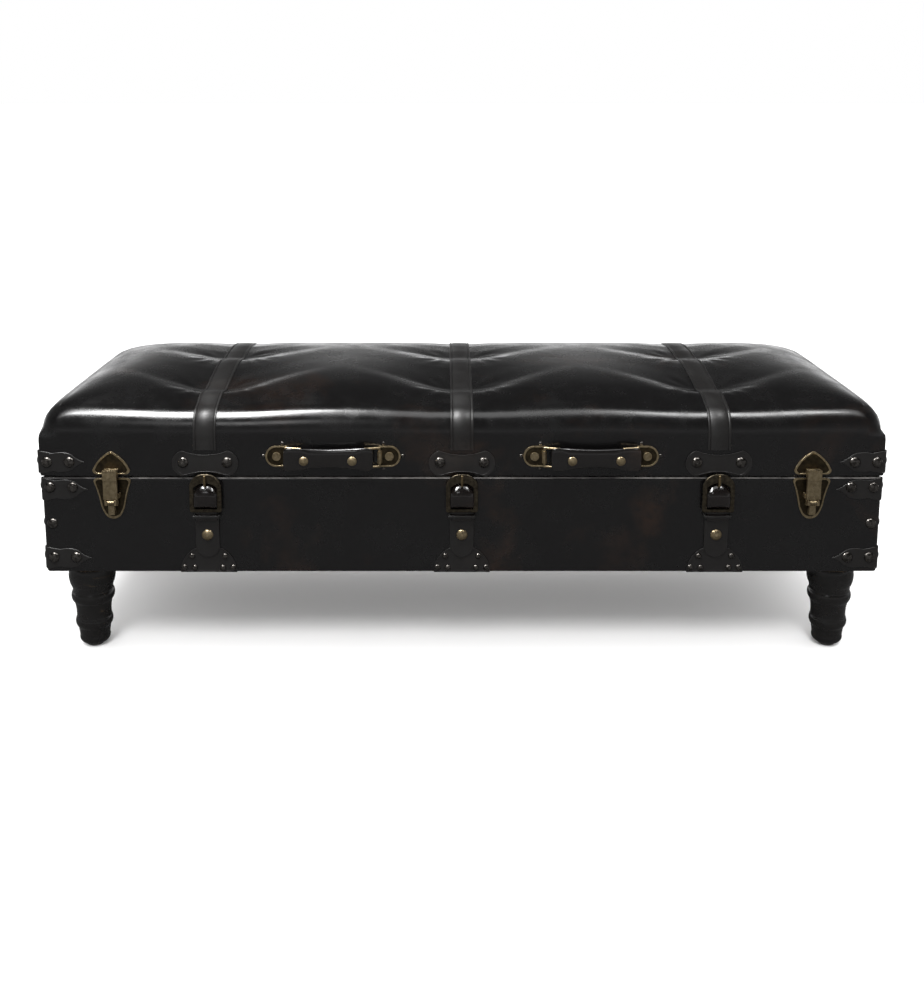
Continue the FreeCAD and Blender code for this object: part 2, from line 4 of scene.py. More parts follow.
import bmesh
import bpy
import numpy as np
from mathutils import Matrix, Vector


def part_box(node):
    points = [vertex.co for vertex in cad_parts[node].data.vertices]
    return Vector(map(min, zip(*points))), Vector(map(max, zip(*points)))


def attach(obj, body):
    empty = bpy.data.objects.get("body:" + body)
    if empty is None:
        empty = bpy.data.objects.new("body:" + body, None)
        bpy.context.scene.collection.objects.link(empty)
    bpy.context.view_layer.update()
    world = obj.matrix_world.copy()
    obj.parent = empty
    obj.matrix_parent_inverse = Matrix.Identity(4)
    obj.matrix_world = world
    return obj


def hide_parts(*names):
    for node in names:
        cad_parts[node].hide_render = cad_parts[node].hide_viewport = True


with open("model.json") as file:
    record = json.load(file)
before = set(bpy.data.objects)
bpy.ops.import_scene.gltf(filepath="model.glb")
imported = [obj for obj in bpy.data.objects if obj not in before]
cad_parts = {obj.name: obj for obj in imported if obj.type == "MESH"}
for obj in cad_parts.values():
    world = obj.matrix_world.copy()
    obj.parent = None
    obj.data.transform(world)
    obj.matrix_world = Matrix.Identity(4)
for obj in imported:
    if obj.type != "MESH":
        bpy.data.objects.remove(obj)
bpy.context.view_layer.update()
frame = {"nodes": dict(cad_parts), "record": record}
NODES = frame["nodes"]
BODY = {node: body for body, nodes in frame["record"]["behaviour"]["bodies"].items() for node in nodes}
SLOT = {part["node"]: part["material_slot"] for part in frame["record"]["subparts"]}

LID_LOW, LID_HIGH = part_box("lid_leather")
BASE_LOW, BASE_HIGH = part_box("base_leather")
STRAPS = [sum(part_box(f"top_strap_{side}")[i][0] for i in (0, 1)) / 2 for side in ("left", "centre", "right")]
STRAP_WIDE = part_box("top_strap_centre")[1][0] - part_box("top_strap_centre")[0][0]


# ---------------------------------------------------------------- materials

def new_material(name):
    """A material's parts: itself, its nodes and links, its shader and the place on the object."""
    material = bpy.data.materials.new(name)
    material.use_nodes = True
    nodes, links = material.node_tree.nodes, material.node_tree.links
    shader = nodes["Principled BSDF"]
    place = nodes.new("ShaderNodeTexCoord").outputs["Object"]
    return material, nodes, links, shader, place


def noise(nodes, links, place, scale, detail=4, rough=0.55, distortion=0.0):
    node = nodes.new("ShaderNodeTexNoise")
    node.inputs["Scale"].default_value = scale
    node.inputs["Detail"].default_value = detail
    node.inputs["Roughness"].default_value = rough
    node.inputs["Distortion"].default_value = distortion
    links.new(place, node.inputs["Vector"])
    return node.outputs["Fac"]


def ramp(nodes, links, value, low, high, start=(0, 0, 0, 1), end=(1, 1, 1, 1)):
    """Blends from start to end as value goes from low to high."""
    node = nodes.new("ShaderNodeValToRGB")
    node.color_ramp.elements[0].position = low
    node.color_ramp.elements[1].position = high
    node.color_ramp.elements[0].color = start
    node.color_ramp.elements[1].color = end
    links.new(value, node.inputs["Fac"])
    return node.outputs["Color"]


def grey(level):
    return (level, level, level, 1)


def mix(nodes, links, amount, first, second):
    node = nodes.new("ShaderNodeMix")
    node.data_type = "RGBA"
    links.new(amount, node.inputs["Factor"])
    for socket, value in ((node.inputs["A"], first), (node.inputs["B"], second)):
        if isinstance(value, tuple):
            socket.default_value = (*value, 1)
        else:
            links.new(value, socket)
    return node.outputs["Result"]


def bump(nodes, links, height, strength, distance, normal=None):
    node = nodes.new("ShaderNodeBump")
    node.inputs["Strength"].default_value = strength
    node.inputs["Distance"].default_value = distance
    links.new(height, node.inputs["Height"])
    if normal is not None:
        links.new(normal, node.inputs["Normal"])
    return node.outputs["Normal"]


def leather(name, dark, worn, rough, grain=0.14, coat=0.08, wear=(0.56, 0.72)):
    """Grained leather: dark colour with rubbed patches, pebbled grain, fine wrinkles and a thin finish."""
    material, nodes, links, shader, place = new_material(name)
    worn_noise = noise(nodes, links, place, scale=7, detail=6, rough=0.62, distortion=0.4)
    patches = ramp(nodes, links, worn_noise, *wear)
    fleck_noise = noise(nodes, links, place, scale=160, detail=4, rough=0.6)
    flecks = ramp(nodes, links, fleck_noise, low=0.5, high=0.75)
    colour = mix(nodes, links, patches, dark, worn)
    fleck_colour = tuple(channel * 0.86 for channel in dark)
    links.new(mix(nodes, links, flecks, colour, fleck_colour), shader.inputs["Base Color"])
    rub_noise = noise(nodes, links, place, scale=24, detail=5, rough=0.6)
    links.new(ramp(nodes, links, rub_noise, 0.35, 0.7, grey(rough - 0.06), grey(rough + 0.10)),
              shader.inputs["Roughness"])
    pebbles = nodes.new("ShaderNodeTexVoronoi")
    pebbles.feature = "SMOOTH_F1"
    pebbles.inputs["Scale"].default_value = 620
    links.new(place, pebbles.inputs["Vector"])
    wrinkles = noise(nodes, links, place, scale=95, detail=5, rough=0.65, distortion=0.8)
    swells = noise(nodes, links, place, scale=13, detail=3, rough=0.5, distortion=0.3)
    normal = bump(nodes, links, swells, strength=0.35, distance=0.0016)
    normal = bump(nodes, links, wrinkles, strength=grain * 0.3, distance=0.0003, normal=normal)
    normal = bump(nodes, links, pebbles.outputs["Distance"], strength=grain, distance=0.0003, normal=normal)
    links.new(normal, shader.inputs["Normal"])
    shader.inputs["Coat Weight"].default_value = coat
    shader.inputs["Coat Roughness"].default_value = 0.16
    shader.inputs["Specular IOR Level"].default_value = 0.5
    return material


def metal(name, bright, dull, rough, patina=(0.42, 0.64)):
    """Old metal: bright where rubbed, dull and darker in patches, with small scratches and pits."""
    material, nodes, links, shader, place = new_material(name)
    patina_noise = noise(nodes, links, place, scale=240, detail=4, rough=0.55, distortion=0.3)
    patches = ramp(nodes, links, patina_noise, *patina)
    links.new(mix(nodes, links, patches, bright, dull), shader.inputs["Base Color"])
    scratches = noise(nodes, links, place, scale=210, detail=4, rough=0.6)
    links.new(ramp(nodes, links, scratches, 0.35, 0.7, grey(rough - 0.08), grey(rough + 0.18)),
              shader.inputs["Roughness"])
    pits = noise(nodes, links, place, scale=700, detail=4, rough=0.6)
    links.new(bump(nodes, links, pits, strength=0.25, distance=0.0002), shader.inputs["Normal"])
    shader.inputs["Metallic"].default_value = 1.0
    return material


def lacquered_wood(name):
    """Black lacquer, rubbed through to gold-brown in streaks that run round the turning."""
    material, nodes, links, shader, place = new_material(name)
    stretch = nodes.new("ShaderNodeMapping")
    stretch.inputs["Scale"].default_value = (1, 1, 4)
    links.new(place, stretch.inputs["Vector"])
    rub_noise = noise(nodes, links, stretch.outputs["Vector"], scale=22, detail=6, rough=0.65, distortion=0.5)
    rubbed = ramp(nodes, links, rub_noise, low=0.66, high=0.76)
    links.new(mix(nodes, links, rubbed, (0.0040, 0.0036, 0.0034), (0.040, 0.026, 0.013)),
              shader.inputs["Base Color"])
    grain = noise(nodes, links, stretch.outputs["Vector"], scale=120, detail=5, rough=0.6)
    links.new(bump(nodes, links, grain, strength=0.25, distance=0.0004), shader.inputs["Normal"])
    polish = noise(nodes, links, place, scale=40)
    links.new(ramp(nodes, links, polish, 0.3, 0.7, grey(0.2), grey(0.36)), shader.inputs["Roughness"])
    shader.inputs["Coat Weight"].default_value = 0.35
    shader.inputs["Coat Roughness"].default_value = 0.08
    shader.inputs["Specular IOR Level"].default_value = 0.35
    return material


def raw_board(name):
    """Plain board with long grain."""
    material, nodes, links, shader, place = new_material(name)
    stretch = nodes.new("ShaderNodeMapping")
    stretch.inputs["Scale"].default_value = (0.12, 1, 1)
    links.new(place, stretch.inputs["Vector"])
    grain = noise(nodes, links, stretch.outputs["Vector"], scale=90, detail=6, rough=0.6, distortion=0.6)
    links.new(mix(nodes, links, ramp(nodes, links, grain, 0.3, 0.7), (0.42, 0.29, 0.17), (0.26, 0.165, 0.09)),
              shader.inputs["Base Color"])
    links.new(bump(nodes, links, grain, strength=0.3, distance=0.0004), shader.inputs["Normal"])
    shader.inputs["Roughness"].default_value = 0.7
    return material


def woven(name, dark, light, threads):
    """Plain-woven cloth: two crossed bands of threads and a little fluff."""
    material, nodes, links, shader, place = new_material(name)
    bands = []
    for direction in ("X", "Y"):
        wave = nodes.new("ShaderNodeTexWave")
        wave.bands_direction = direction
        wave.inputs["Scale"].default_value = threads
        wave.inputs["Distortion"].default_value = 0.6
        links.new(place, wave.inputs["Vector"])
        bands.append(wave.outputs["Fac"])
    both = nodes.new("ShaderNodeMath")
    both.operation = "MULTIPLY"
    for i in (0, 1):
        links.new(bands[i], both.inputs[i])
    fluff = noise(nodes, links, place, scale=60, detail=5, rough=0.6)
    links.new(mix(nodes, links, fluff, dark, light), shader.inputs["Base Color"])
    weave = bump(nodes, links, both.outputs["Value"], strength=0.4, distance=0.0003)
    links.new(weave, shader.inputs["Normal"])
    shader.inputs["Roughness"].default_value = 0.9
    shader.inputs["Sheen Weight"].default_value = 0.08
    return material


MATERIALS = {
    "leather": leather("glossy_leather", (0.0028, 0.0026, 0.0027), (0.0110, 0.0056, 0.0034), 0.23),
    # A pale leather for a thin band on the base's top bend: a painted highlight along the seam, with the
    # leather's own patches in it.
    "seam_painted_highlight": leather("seam_painted_highlight", (0.040, 0.038, 0.037), (0.20, 0.19, 0.18), 0.30, wear=(0.40, 0.62)),
    "strap_leather": leather("strap_leather", (0.0048, 0.0039, 0.0035), (0.012, 0.0074, 0.0050), 0.47,
                             grain=0.30, coat=0.04),
    "grip_leather": leather("grip_leather", (0.0040, 0.0034, 0.0032), (0.010, 0.0060, 0.0042), 0.16,
                            grain=0.14, coat=0.3),
    "buckle_leather": leather("buckle_leather", (0.0036, 0.0026, 0.0023), (0.010, 0.0052, 0.0036), 0.13,
                              grain=0.30, coat=0.3),
    "leg_wood": lacquered_wood("black_lacquer"),
    "brass": metal("antique_brass", (0.27, 0.205, 0.115), (0.150, 0.110, 0.062), 0.36, (0.3, 0.75)),
    "rim_brass": metal("rim_brass", (0.46, 0.37, 0.23), (0.24, 0.18, 0.105), 0.34, (0.35, 0.8)),
    "dark_brass": metal("dark_brass", (0.075, 0.058, 0.034), (0.030, 0.024, 0.016), 0.42, (0.3, 0.7)),
    "dull_brass": metal("dull_brass", (0.125, 0.104, 0.072), (0.046, 0.039, 0.029), 0.32, (0.3, 0.7)),
    "dark_nail": metal("dark_nail", (0.15, 0.14, 0.13), (0.050, 0.046, 0.042), 0.24),
    "steel": metal("zinc_steel", (0.45, 0.45, 0.44), (0.25, 0.25, 0.25), 0.40),
    "panel_wood": raw_board("raw_board"),
    "lining": woven("lining_cloth", (0.016, 0.013, 0.012), (0.035, 0.030, 0.027), 420),
    "felt": woven("felt", (0.020, 0.018, 0.016), (0.040, 0.036, 0.032), 700),
}


# ---------------------------------------------------------------- ways to make pieces

JOIN_DISTANCE = 2e-6
FLAT_ANGLE = math.radians(0.6)
BEVEL_ANGLE = math.radians(30)


def adopt(piece, body, slot, *nodes):
    """The piece rides on the body and stands for the nodes. The slot is not used."""
    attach(piece, body)
    if nodes:
        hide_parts(*nodes)
    return piece


def smooth_shaded(mesh, angle=38):
    mesh.shade_smooth()
    mesh.set_sharp_from_angle(angle=math.radians(angle))


def mesh_piece(name, verts, faces, material, angle, shape=None):
    """A new object from points and faces, turned outward and then worked on by shape, if it is given."""
    mesh = bpy.data.meshes.new(name)
    mesh.from_pydata(verts, [], faces)
    work = bmesh.new()
    work.from_mesh(mesh)
    bmesh.ops.recalc_face_normals(work, faces=work.faces)
    if shape:
        shape(work)
    work.to_mesh(mesh)
    work.free()
    smooth_shaded(mesh, angle)
    mesh.materials.append(MATERIALS[material])
    piece = bpy.data.objects.new(name, mesh)
    bpy.context.collection.objects.link(piece)
    return piece


def tube_faces(start, rows, count):
    """Faces that join each closed ring of points to the next ring."""
    return [(start + i * count + k, start + i * count + (k + 1) % count,
             start + (i + 1) * count + (k + 1) % count, start + (i + 1) * count + k)
            for i in range(rows - 1) for k in range(count)]


def tube_ends(start, rows, count):
    """The two faces that close a tube."""
    last = start + (rows - 1) * count
    return [tuple(reversed(range(start, start + count))), tuple(range(last, last + count))]


def relaxed(work, verts, axes):
    """Two passes that move points towards their neighbours along some axes."""
    for _ in range(2):
        bmesh.ops.smooth_vert(work, verts=verts, factor=0.5, use_axis_x="x" in axes, use_axis_y="y" in axes,
                              use_axis_z="z" in axes)


def clean_copy(node, whole):
    """A node's mesh with its split edges joined and, where asked, the triangles of its flat faces merged."""
    mesh = NODES[node].data.copy()
    mesh.transform(NODES[node].matrix_world)
    work = bmesh.new()
    work.from_mesh(mesh)
    bmesh.ops.remove_doubles(work, verts=work.verts, dist=JOIN_DISTANCE)
    if whole:
        bmesh.ops.dissolve_limit(work, angle_limit=FLAT_ANGLE, verts=work.verts, edges=work.edges)
    fresh = bpy.data.meshes.new(node + "_shape")
    work.to_mesh(fresh)
    work.free()
    return fresh


def softened(node, width, material=None):
    """The node's own shape with its edges rounded, standing for the node."""
    mesh = clean_copy(node, whole=width > 0)
    piece = bpy.data.objects.new(node + "_finish", mesh)
    bpy.context.collection.objects.link(piece)
    if width:
        bevel = piece.modifiers.new("Edges", "BEVEL")
        bevel.width = width
        bevel.segments = 3
        bevel.limit_method = "ANGLE"
        bevel.angle_limit = BEVEL_ANGLE
        bevel.use_clamp_overlap = True
    smooth_shaded(mesh)
    mesh.materials.clear()
    mesh.materials.append(material or MATERIALS[SLOT[node]])
    return adopt(piece, BODY[node], SLOT[node], node)


# ---------------------------------------------------------------- the padded lid

# The top meets the sides in a roll. Above EDGE_TOP stands the padding, CROWN high.
ROLL = 0.024
EDGE_TOP = LID_LOW[2] + 0.0795
CROWN = LID_HIGH[2] + 0.004 - EDGE_TOP

# The upright corners grow rounder from CORNER_START up to EDGE_TOP.
CORNER_START = EDGE_TOP - 0.031
SHARP_CORNER = 0.006
CORNER_GROWTH = 1.7
HEM_WIDTH, HEM_THICK = 0.0134, 0.0014

# The padding falls over END_SLOPE towards each end. The panels between the straps are made PANEL_SWELL
# times too high and then cut at the crown, with a shoulder. A crease sweeps back by CREASE_SWEEP at
# SWEEP_REACH from its strap, and a strap's own profile fades into the panels over TUFT_REACH.
LID_DEPTH = LID_HIGH[1] - LID_LOW[1]
END_SLOPE = 0.15
PANEL_SWELL, PANEL_SHOULDER = 1.15, 1.15
CREASE_SWEEP, SWEEP_REACH = 0.036, 0.08
TUFT_REACH = 0.070
WRINKLE_HEIGHT, WRINKLE_RADIUS, WRINKLE_BAND = 0.0004, 0.030, 0.020

# Along a strap: depth across the lid as a share, and height as a share of the crown.
# Each of the two tufts has a low crest, a short drop to a crease, and a longer rise behind it.
STRAP_PROFILE = [(0, 0), (0.06, 0.21), (0.13, 0.425), (0.155, 0.455), (0.215, 0.370), (0.30, 0.53),
                 (0.41, 0.70), (0.46, 0.755), (0.50, 0.765), (0.565, 0.680), (0.65, 0.76), (0.75, 0.77),
                 (0.85, 0.67), (0.94, 0.41), (1, 0)]
TUFT_DEPTHS = (0.215, 0.565)


def profile_table():
    """The strap profile at close even steps, with its corners rounded."""
    steps = np.linspace(-0.1, 1.1, 1201)
    raw = np.interp(steps, *zip(*STRAP_PROFILE))
    rounding = 0.009
    window = np.exp(-(np.linspace(-0.03, 0.03, 61) / rounding) ** 2)
    return steps, np.convolve(raw, window / window.sum(), mode="same")


STEPS, SMOOTHED = profile_table()


def blend_low(first, second, sharp=2.6):
    """The lower of two heights, with a rounded change from one to the other."""
    first, second = np.maximum(first, 1e-4), np.maximum(second, 1e-4)
    return (first ** -sharp + second ** -sharp) ** (-1 / sharp)


def lid_height(x, y):
    """Height of the padded top above its edge, for arrays of places across the lid."""
    depth = (y - LID_LOW[1]) / LID_DEPTH

    # Between the straps: a panel that falls more gently to the front than to the back.
    from_end = np.minimum(x - LID_LOW[0], LID_HIGH[0] - x)
    middle = np.clip(np.abs(2 * depth - 1), 0, 1)
    across = np.where(depth < 0.5, 1 - middle ** 2.4, 1 - middle ** 3.4)
    along = 1 - np.clip(1 - from_end / END_SLOPE, 0, 1) ** 2.2
    panel = PANEL_SWELL * blend_low(across, along)
    panel = np.minimum(panel, 1 - (1 - np.minimum(panel, 1)) ** PANEL_SHOULDER)

    # At a strap: its own profile, whose creases sweep back with the distance from the strap.
    away = np.min([np.clip(np.abs(x - strap) - STRAP_WIDE / 2, 0, None) for strap in STRAPS], axis=0)
    inside = np.clip(4 * depth, 0, 1) * np.clip(4 * (1 - depth), 0, 1)
    sweep = CREASE_SWEEP * (away / SWEEP_REACH) ** 1.25 / LID_DEPTH * inside
    beside = np.interp(depth - sweep, STEPS, SMOOTHED) * np.minimum(1, along * 1.6)
    near = np.exp(-(away / TUFT_REACH) ** 1.7)
    height = CROWN * (near * beside + (1 - near) * panel)

    # Small wrinkles that fan out from each tuft.
    for part in TUFT_DEPTHS:
        tuft = LID_LOW[1] + part * LID_DEPTH
        reach = np.hypot(away, y - tuft)
        turn = np.arctan2(y - tuft, away + 1e-6)
        band = np.exp(-((reach - WRINKLE_RADIUS) / WRINKLE_BAND) ** 2)
        height += WRINKLE_HEIGHT * np.cos(11 * turn + 40 * x) * band
    return height


def lid_loops():
    """Offsets outward and heights of the rings round the top: roll, side, turned-under edge."""
    rings = []
    for step in range(1, 8):
        angle = math.radians(90 * step / 7)
        rings.append((ROLL * math.sin(angle), EDGE_TOP - ROLL * (1 - math.cos(angle))))
    low = LID_LOW[2]
    for level in np.linspace(EDGE_TOP - ROLL, low + 0.003, 10)[1:]:
        rings.append((ROLL, level))
    rings += [(ROLL - 0.0008, low + 0.0009), (ROLL - 0.003, low), (ROLL - HEM_WIDTH, low),
              (ROLL - HEM_WIDTH, low + HEM_THICK)]
    return rings


def rounded_corner(points, low, high, radius):
    """Pulls points near the upright corners of a box onto a rounded corner."""
    inner_low, inner_high = np.array(low) + radius, np.array(high) - radius
    centre = np.clip(points, inner_low, inner_high)
    offset = points - centre
    both = (np.abs(offset[:, 0]) > 1e-9) & (np.abs(offset[:, 1]) > 1e-9)
    reach = np.abs(offset).max(axis=1)
    length = np.linalg.norm(offset, axis=1)
    scale = np.where(both, reach / np.maximum(length, 1e-9), 1)
    return centre + offset * scale[:, None]


def corner_spacing(low, high, count):
    """Even places from low to high, with closer ones near both ends for the rounded corners."""
    near, rest = np.array([0, 0.0008, 0.0016, 0.0024, 0.0033, 0.0044, 0.0058, 0.0076]), 0.010
    return np.concatenate([low + near, np.linspace(low + rest, high - rest, count), high - near[::-1]])


def lid_cover():
    """The lid's leather: a padded top, its rolled edge, the sides and the turned-under hem."""
    x = corner_spacing(LID_LOW[0] + ROLL, LID_HIGH[0] - ROLL, 321)
    y = corner_spacing(LID_LOW[1] + ROLL, LID_HIGH[1] - ROLL, 111)
    grid_x, grid_y = np.meshgrid(x, y)
    grid_z = EDGE_TOP + lid_height(grid_x, grid_y) - lid_height(grid_x * 0, grid_y * 0 + LID_LOW[1])
    verts = [tuple(p) for p in np.stack([grid_x, grid_y, grid_z], -1).reshape(-1, 3)]
    nx, ny = len(x), len(y)
    faces = [(j * nx + i, j * nx + i + 1, (j + 1) * nx + i + 1, (j + 1) * nx + i)
             for j in range(ny - 1) for i in range(nx - 1)]
    rim = ([i for i in range(nx)] + [j * nx + nx - 1 for j in range(1, ny)]
           + [(ny - 1) * nx + i for i in range(nx - 2, -1, -1)] + [j * nx for j in range(ny - 2, 0, -1)])
    flat = np.array([verts[i][:2] for i in rim])
    edge_z = np.array([verts[i][2] for i in rim])
    middle = np.array([(x[0] + x[-1]) / 2, (y[0] + y[-1]) / 2])
    half = np.array([(x[-1] - x[0]) / 2, (y[-1] - y[0]) / 2])
    on_edge = np.abs(np.abs(flat - middle) - half) < 1e-9
    outward = np.sign(flat - middle) * on_edge
    last = rim
    for offset, level in lid_loops():
        ring = flat + outward * offset
        risen = max(0.0, (level - CORNER_START) / (EDGE_TOP - CORNER_START))
        corner = SHARP_CORNER + ROLL * risen ** CORNER_GROWTH
        reach = half + offset
        ring = rounded_corner(ring, middle - reach, middle + reach, corner)
        share = max(0.0, 1 - (EDGE_TOP - level) / ROLL)
        z = level + (edge_z - EDGE_TOP) * share
        start = len(verts)
        verts += [(px, py, pz) for (px, py), pz in zip(ring, z)]
        now = list(range(start, start + len(rim)))
        count = len(rim)
        faces += [(last[k], now[k], now[(k + 1) % count], last[(k + 1) % count]) for k in range(count)]
        last = now

    def settle(work):
        relaxed(work, [v for v in work.verts if v.co.z > EDGE_TOP - ROLL * 0.8], "xyz")

    piece = mesh_piece("lid_cover", verts, faces, "leather", 60, settle)
    adopt(piece, "lid", "leather", "lid_leather", "lid_foam")
    return piece


def cover_tree(piece):
    """A search tree of the finished cover, for laying things on it."""
    from mathutils.bvhtree import BVHTree
    shape = piece.evaluated_get(bpy.context.evaluated_depsgraph_get())
    mesh = shape.to_mesh()
    tree = BVHTree.FromPolygons([v.co.copy() for v in mesh.vertices],
                                [tuple(face.vertices) for face in mesh.polygons])
    shape.to_mesh_clear()
    return tree


STRAP_THICK = 0.0014

# A strap ends this much higher in front than at the back.
STRAP_LIFT = 0.0082

# Its way over the padding is found along a fan of lines from a point below EDGE_TOP.
FAN_DEPTH, FAN_REACH = 0.09, 0.6


def strap_path(tree, strap):
    """Points round the lid at one strap: up the front, over the padding and down the back."""
    front, back, roll_start = LID_LOW[1], LID_HIGH[1], EDGE_TOP - ROLL
    low_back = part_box("top_strap_centre")[0][2]
    low_front = low_back + STRAP_LIFT
    points = [Vector((strap, front, level)) for level in np.linspace(low_front, roll_start, 8)]
    centre = Vector((strap, (front + back) / 2, EDGE_TOP - FAN_DEPTH))
    spread = math.atan2(back - centre.y, roll_start - centre.z)
    for angle in np.linspace(-spread, spread, 150)[1:-1]:
        way = Vector((0, math.sin(angle), math.cos(angle)))
        hit = tree.ray_cast(centre + way * FAN_REACH, -way)[0]
        if hit:
            points.append(hit)
    points += [Vector((strap, back, level)) for level in np.linspace(roll_start, low_back, 8)]
    return points


def lay_strap(tree, strap, side):
    """A strap of even thickness with rounded edges and a pressed line along each side."""
    points = strap_path(tree, strap)
    half, thick = STRAP_WIDE / 2, STRAP_THICK
    section = [(-half, 0.0002), (-half, thick * 0.6), (-half + 0.0006, thick), (-half + 0.0026, thick),
               (-half + 0.0034, thick * 0.35), (-half + 0.0044, thick), (0, thick * 1.12)]
    section += [(-across, up) for across, up in reversed(section[:-1])]
    verts, rows, count = [], len(points), len(section)
    for i, point in enumerate(points):
        before, after = points[max(i - 1, 0)], points[min(i + 1, len(points) - 1)]
        run = (after - before).normalized()
        up = Vector((1, 0, 0)).cross(run).normalized()
        verts += [tuple(point + Vector((across, 0, 0)) + up * high) for across, high in section]
    faces = tube_faces(0, rows, count) + tube_ends(0, rows, count)
    piece = mesh_piece("over_strap_" + side, verts, faces, "strap_leather", 50)
    return adopt(piece, "lid", "strap_leather", "top_strap_" + side)


# ---------------------------------------------------------------- the base's leather

BASE_HEM = 0.0135
BASE_BEND = 0.0045
BASE_CORNER = 0.0062


def base_profile():
    """Distance inward and level of each ring: top hem, bend, side and the turned-under edge."""
    top, bottom = BASE_HIGH[2], BASE_LOW[2]
    rings = [(BASE_HEM, top - HEM_THICK), (BASE_HEM, top), (BASE_BEND, top)]
    for step in range(1, 7):
        angle = math.radians(90 * step / 6)
        rings.append((BASE_BEND * (1 - math.sin(angle)), top - BASE_BEND * (1 - math.cos(angle))))
    rings += [(0, level) for level in np.linspace(top - BASE_BEND, bottom + 0.002, 22)[1:]]
    rings += [(0.0006, bottom + 0.0005), (0.0020, bottom), (0.0035, bottom), (0.0035, bottom + 0.0012)]
    return rings


def base_cover():
    """The base's leather: turned over the top edge, down the sides and under, with a pale band painted along
    the bend as its highlight.
    """
    low, high = np.array(BASE_LOW[:2]), np.array(BASE_HIGH[:2])
    along = corner_spacing(low[0], high[0], 201)
    aside = corner_spacing(low[1], high[1], 71)
    loop = ([(x, low[1]) for x in along] + [(high[0], y) for y in aside[1:]]
            + [(x, high[1]) for x in along[-2::-1]] + [(low[0], y) for y in aside[-2:0:-1]])
    loop = np.array(loop)
    middle, half = (low + high) / 2, (high - low) / 2
    verts, profile = [], base_profile()
    for inward, level in profile:
        reach = half - inward
        ring = middle + (loop - middle) * reach / half
        ring = rounded_corner(ring, middle - reach, middle + reach, max(BASE_CORNER - inward, 0.0008))
        verts += [(px, py, level) for px, py in ring]
    piece = mesh_piece("base_cover", verts, tube_faces(0, len(profile), len(loop)), "leather", 60)
    # Second material: the pale leather, a painted highlight, given below to a thin band of faces on the top
    # bend.
    piece.data.materials.append(MATERIALS["seam_painted_highlight"])
    bend_top = BASE_HIGH[2]
    for face in piece.data.polygons:
        if bend_top - BASE_BEND * 0.62 < face.center.z < bend_top - BASE_BEND * 0.15:
            face.material_index = 1
    return adopt(piece, "base", "leather", "base_leather")


# ---------------------------------------------------------------- everything else

# How wide the edges of each slot's pieces are rounded. Turned and domed pieces are left as they are.
EDGE_WIDTHS = {
    "strap_leather": 0.0007, "brass": 0.0006, "panel_wood": 0.0020, "lining": 0.0005, "felt": 0.0008,
    "steel": 0.0005,
}
HARDWARE_EDGE = 0.0011
DARK_NAILS = ("base_nails", "lid_nails", "patch_nails", "handle_plate_nails")
NO_BEVEL = DARK_NAILS + ("strap_rivets", "hinge_base_screws", "hinge_lid_screws", "grip_rivets_left",
                         "grip_rivets_right", "hinge_pins")

# FACE is the y of the front leather. The levels are the y of each kind of plate's sunk floor.
FACE = LID_LOW[1]
RECESS_LEVELS = {"latch_plates": FACE + 0.0005, "latch_catches": FACE - 0.0015,
                 "handle_plates": FACE - 0.0015}


def darken_recess(piece, level):
    """Bright rims round a darker floor: faces that look forward at the floor's level turn dark."""
    mesh = piece.data
    mesh.materials.clear()
    mesh.materials.append(MATERIALS["rim_brass"])
    mesh.materials.append(MATERIALS["dark_brass"])
    for face in mesh.polygons:
        if face.normal.y < -0.9 and abs(face.center.y - level) < 0.0002:
            face.material_index = 1


# The leather in a buckle: how far it stands out, at shares of the way down.
BULGE_DOWN = (0.0, 0.08, 0.17, 0.27, 0.38, 0.49, 0.57, 0.625, 0.655, 0.80, 1.0)
BULGE_OUT = (0.0020, 0.0070, 0.0104, 0.0122, 0.0128, 0.0122, 0.0104, 0.0060, 0.0028, 0.0028, 0.0028)
BULGE_HALF, BULGE_SPREAD = 0.0139, 0.0016
BULGE_ARCH = 0.0055


def bulged_leather(strap, verts, faces):
    """The strap's end drawn through its buckle: bulging out of the window, behind the lower bar and down."""
    low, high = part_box("buckle_tongues")
    top, bottom, back = high[2] + BULGE_ARCH, low[2], high[1]
    across = np.sin(np.linspace(-math.pi / 2, math.pi / 2, 19))
    peaks = top - BULGE_ARCH * np.abs(across) ** 2.5
    start, rows = len(verts), np.linspace(0, 1, 46)
    for down in rows:
        out = np.interp(down, BULGE_DOWN, BULGE_OUT)
        half = BULGE_HALF + BULGE_SPREAD * np.clip((out - 0.0070) / 0.003, 0, 1)
        for u, peak in zip(across, peaks):
            rounded = out * (1 - 0.38 * abs(u) ** 4)
            verts.append((strap + half * u, back - rounded, peak - down * (peak - bottom)))
        for u, peak in zip(across[::-1], peaks[::-1]):
            verts.append((strap + BULGE_HALF * u, back, peak - down * (peak - bottom)))
    count = 2 * len(across)
    faces += tube_faces(start, len(rows), count) + tube_ends(start, len(rows), count)


def buckle_leathers():
    """The leather in all three buckles, as one piece."""
    verts, faces = [], []
    for strap in STRAPS:
        bulged_leather(strap, verts, faces)
    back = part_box("buckle_tongues")[1][1]

    def soften(work):
        relaxed(work, [v for v in work.verts if v.co.y < back - 0.0005], "y")

    piece = mesh_piece("buckle_leathers", verts, faces, "buckle_leather", 60, soften)
    return adopt(piece, "base", "strap_leather", "buckle_tongues")


# Half heights of a grip's ends above and below its level, and how much less its waist has.
GRIP_UPPER, GRIP_LOWER = 0.0172, 0.0166
WAIST_UPPER, WAIST_LOWER = 0.0035, 0.0058

# A grip sits GRIP_SHIFT to one side of the middle between its rings. From RING_START beyond that
# middle it grows thinner at the back, over RING_SLOPE, to leave RING_ROOM for the rings.
GRIP_SHIFT, RING_START, RING_SLOPE, RING_ROOM = 0.005, 0.031, 0.0055, 0.0049
GRIP_RISE = 0.0006


